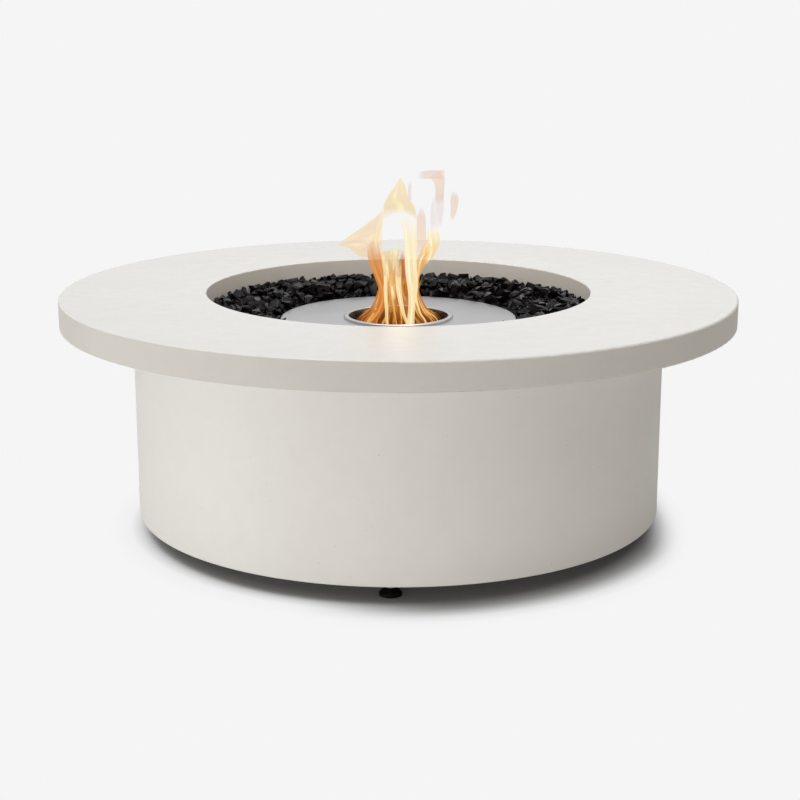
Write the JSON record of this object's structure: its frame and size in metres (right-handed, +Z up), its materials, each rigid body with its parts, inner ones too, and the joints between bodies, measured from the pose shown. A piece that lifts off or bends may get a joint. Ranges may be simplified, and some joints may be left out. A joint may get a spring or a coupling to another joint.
{
  "type": "fire pit table",
  "caption": "Low round concrete fire table: disc top on a narrower drum, ring of black fire glass round a stainless ethanol burner, levelling feet.",
  "frame": {"origin": "on the floor, under the middle of the table", "axes": "+Z up along the table's axis, +X to the right as seen from the front, and the front faces -Y"},
  "size_m": [1.05, 1.05, 0.368],
  "materials": {
    "cast_concrete": "warm off-white glass-fibre concrete, smooth cast, sealed matt",
    "black_fire_glass": "opaque black crushed glass with glossy broken facets",
    "satin_stainless": "satin stainless with fine turned grain",
    "tray_black": "matt black heat-proof paint",
    "galvanised_steel": "galvanised, dull",
    "zinc_fasteners": "bright zinc plate",
    "sleeve_brass": "machined",
    "foot_nylon": "black moulded nylon",
    "foot_rubber": "black rubber"
  },
  "bodies": {
    "table": {"table_top": "cast_concrete", "drum_shell": "cast_concrete", "base_ring": "cast_concrete", "base_screws": "zinc_fasteners", "base_inserts": "sleeve_brass", "wall_inserts": "sleeve_brass", "top_inserts": "sleeve_brass", "cleat_wall_screws": "zinc_fasteners", "cleat_top_screws": "zinc_fasteners", "hanger_screws": "zinc_fasteners", "media_tray": "tray_black", "tray_screws": "zinc_fasteners", "tray_nuts": "zinc_fasteners", "fire_glass": "black_fire_glass", "joint_cleat_1": "galvanised_steel", "joint_cleat_2": "galvanised_steel", "joint_cleat_3": "galvanised_steel", "joint_cleat_4": "galvanised_steel", "tray_hanger_1": "galvanised_steel", "tray_hanger_2": "galvanised_steel", "tray_hanger_3": "galvanised_steel", "tray_hanger_4": "galvanised_steel", "foot_insert_1": "sleeve_brass", "foot_insert_2": "sleeve_brass", "foot_insert_3": "sleeve_brass", "foot_insert_4": "sleeve_brass"},
    "burner": {"burner_plate": "satin_stainless", "burner_casing": "satin_stainless", "tank_spacers": "satin_stainless", "fuel_tank": "satin_stainless", "tank_lid": "satin_stainless", "burner_throat": "satin_stainless", "baffle_ring": "satin_stainless"},
    "mouth_ring": {"flame_ring": "satin_stainless"},
    "foot_1": {"foot_pad_1": "foot_nylon", "foot_sole_1": "foot_rubber"},
    "stem_1": {"foot_stem_1": "zinc_fasteners"},
    "foot_2": {"foot_pad_2": "foot_nylon", "foot_sole_2": "foot_rubber"},
    "stem_2": {"foot_stem_2": "zinc_fasteners"},
    "foot_3": {"foot_pad_3": "foot_nylon", "foot_sole_3": "foot_rubber"},
    "stem_3": {"foot_stem_3": "zinc_fasteners"},
    "foot_4": {"foot_pad_4": "foot_nylon", "foot_sole_4": "foot_rubber"},
    "stem_4": {"foot_stem_4": "zinc_fasteners"}
  },
  "joints": [
    {"name": "burner_lift", "type": "slide", "parent": "table", "child": "burner", "axis": [0, 0, 1], "range_m": [0, 0.21]},
    {"name": "ring_lift", "type": "slide", "parent": "burner", "child": "mouth_ring", "axis": [0, 0, 1], "range_m": [0, 0.04]},
    {"name": "foot_1_height", "type": "slide", "parent": "table", "child": "foot_1", "axis": [0, 0, -1], "range_m": [-0.0038, 0.01005]},
    {"name": "foot_1_turn", "type": "hinge", "parent": "foot_1", "child": "stem_1", "pos_m": [-0.01061, -0.37985, 0.03], "axis": [0, 0, -1], "range_deg": [-1080, 2880]},
    {"name": "foot_2_height", "type": "slide", "parent": "table", "child": "foot_2", "axis": [0, 0, -1], "range_m": [-0.0038, 0.01005]},
    {"name": "foot_2_turn", "type": "hinge", "parent": "foot_2", "child": "stem_2", "pos_m": [0.37985, -0.01061, 0.03], "axis": [0, 0, -1], "range_deg": [-1080, 2880]},
    {"name": "foot_3_height", "type": "slide", "parent": "table", "child": "foot_3", "axis": [0, 0, -1], "range_m": [-0.0038, 0.01005]},
    {"name": "foot_3_turn", "type": "hinge", "parent": "foot_3", "child": "stem_3", "pos_m": [0.01061, 0.37985, 0.03], "axis": [0, 0, -1], "range_deg": [-1080, 2880]},
    {"name": "foot_4_height", "type": "slide", "parent": "table", "child": "foot_4", "axis": [0, 0, -1], "range_m": [-0.0038, 0.01005]},
    {"name": "foot_4_turn", "type": "hinge", "parent": "foot_4", "child": "stem_4", "pos_m": [-0.37985, 0.01061, 0.03], "axis": [0, 0, -1], "range_deg": [-1080, 2880]}
  ],
  "couplings": [
    {"joint": "foot_1_height", "follows": "foot_1_turn", "m_per_rad": 0.00019894},
    {"joint": "foot_2_height", "follows": "foot_2_turn", "m_per_rad": 0.00019894},
    {"joint": "foot_3_height", "follows": "foot_3_turn", "m_per_rad": 0.00019894},
    {"joint": "foot_4_height", "follows": "foot_4_turn", "m_per_rad": 0.00019894}
  ]
}
